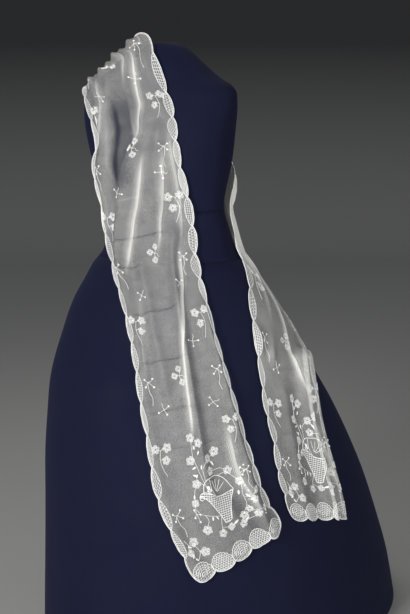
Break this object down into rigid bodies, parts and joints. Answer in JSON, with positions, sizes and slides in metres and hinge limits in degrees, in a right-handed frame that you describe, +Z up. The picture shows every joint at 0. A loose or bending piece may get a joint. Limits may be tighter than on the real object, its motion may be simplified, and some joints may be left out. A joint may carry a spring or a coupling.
{
  "type": "lace shawl on a limbless dress form",
  "caption": "Long embroidered net shawl with scalloped borders, hung over one shoulder of a limbless dress form in a full skirt, its ends falling down the front and the far side.",
  "frame": {"origin": "centre of the skirt's hem, on the floor", "axes": "+Z up, -Y the way the dress form faces, +X its left"},
  "size_m": [0.86, 1.2301, 1.5113],
  "materials": {
    "cotton_net": "embroidered cotton net, matt",
    "navy_bodice": "matt woven cotton",
    "navy_waistband": "matt woven cotton",
    "navy_skirt": "matt woven cotton"
  },
  "bodies": {
    "root": {"shawl_front_fall": "cotton_net", "shawl_back_wrap": "cotton_net", "shawl_side_fall": "cotton_net", "form_torso": "navy_bodice", "form_waistband": "navy_waistband", "form_skirt": "navy_skirt"}
  },
  "joints": []
}
